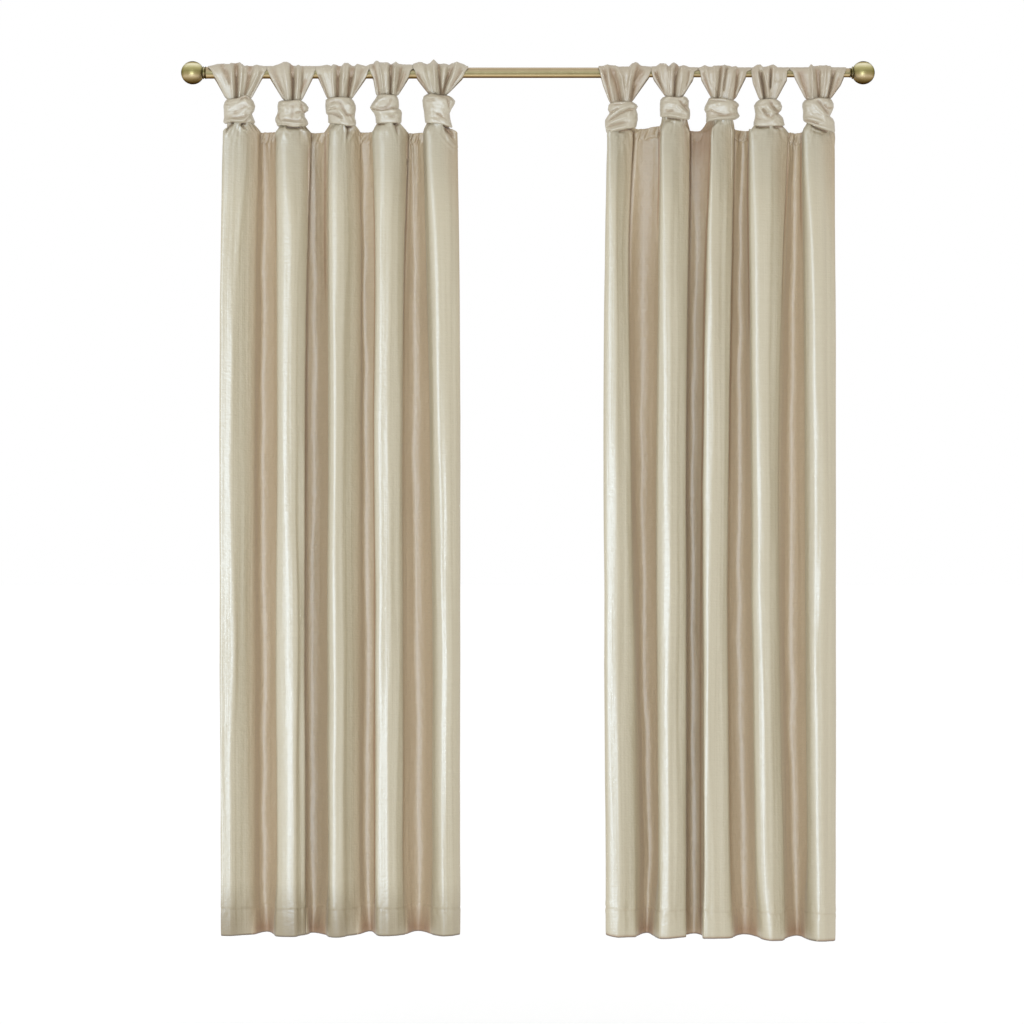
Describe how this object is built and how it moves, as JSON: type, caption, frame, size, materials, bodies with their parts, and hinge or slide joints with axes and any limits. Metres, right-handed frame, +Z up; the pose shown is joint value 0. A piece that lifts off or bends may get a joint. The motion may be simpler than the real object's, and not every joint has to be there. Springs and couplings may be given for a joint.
{
  "type": "blackout curtain panels with knotted tab tops and curtain rod",
  "caption": "Blackout curtain panels with knotted tab tops, hanging in deep vertical folds from a telescoping brass rod with ball finials.",
  "frame": {"origin": "middle of the rod, on its axis, where the wall brackets carry it", "axes": "+X along the rod to the right as seen from the room, +Y towards the wall, +Z up"},
  "size_m": [1.6952, 0.0965, 2.1418],
  "materials": {
    "curtain_cloth": "faux silk with fine crosswise slubs and a soft satin sheen, champagne",
    "rod_brass": "satin antique brass tube",
    "finial_brass": "satin antique brass, smooth turned"
  },
  "bodies": {
    "root": {"panel_left": "curtain_cloth", "panel_right": "curtain_cloth", "tab_left_1": "curtain_cloth", "tab_left_2": "curtain_cloth", "tab_left_3": "curtain_cloth", "tab_left_4": "curtain_cloth", "tab_left_5": "curtain_cloth", "tab_right_1": "curtain_cloth", "tab_right_2": "curtain_cloth", "tab_right_3": "curtain_cloth", "tab_right_4": "curtain_cloth", "tab_right_5": "curtain_cloth", "rod_tube_left": "rod_brass", "rod_tube_middle": "rod_brass", "rod_tube_right": "rod_brass", "finial_collar_left": "finial_brass", "finial_collar_right": "finial_brass", "finial_ball_left": "finial_brass", "finial_ball_right": "finial_brass"}
  },
  "joints": []
}
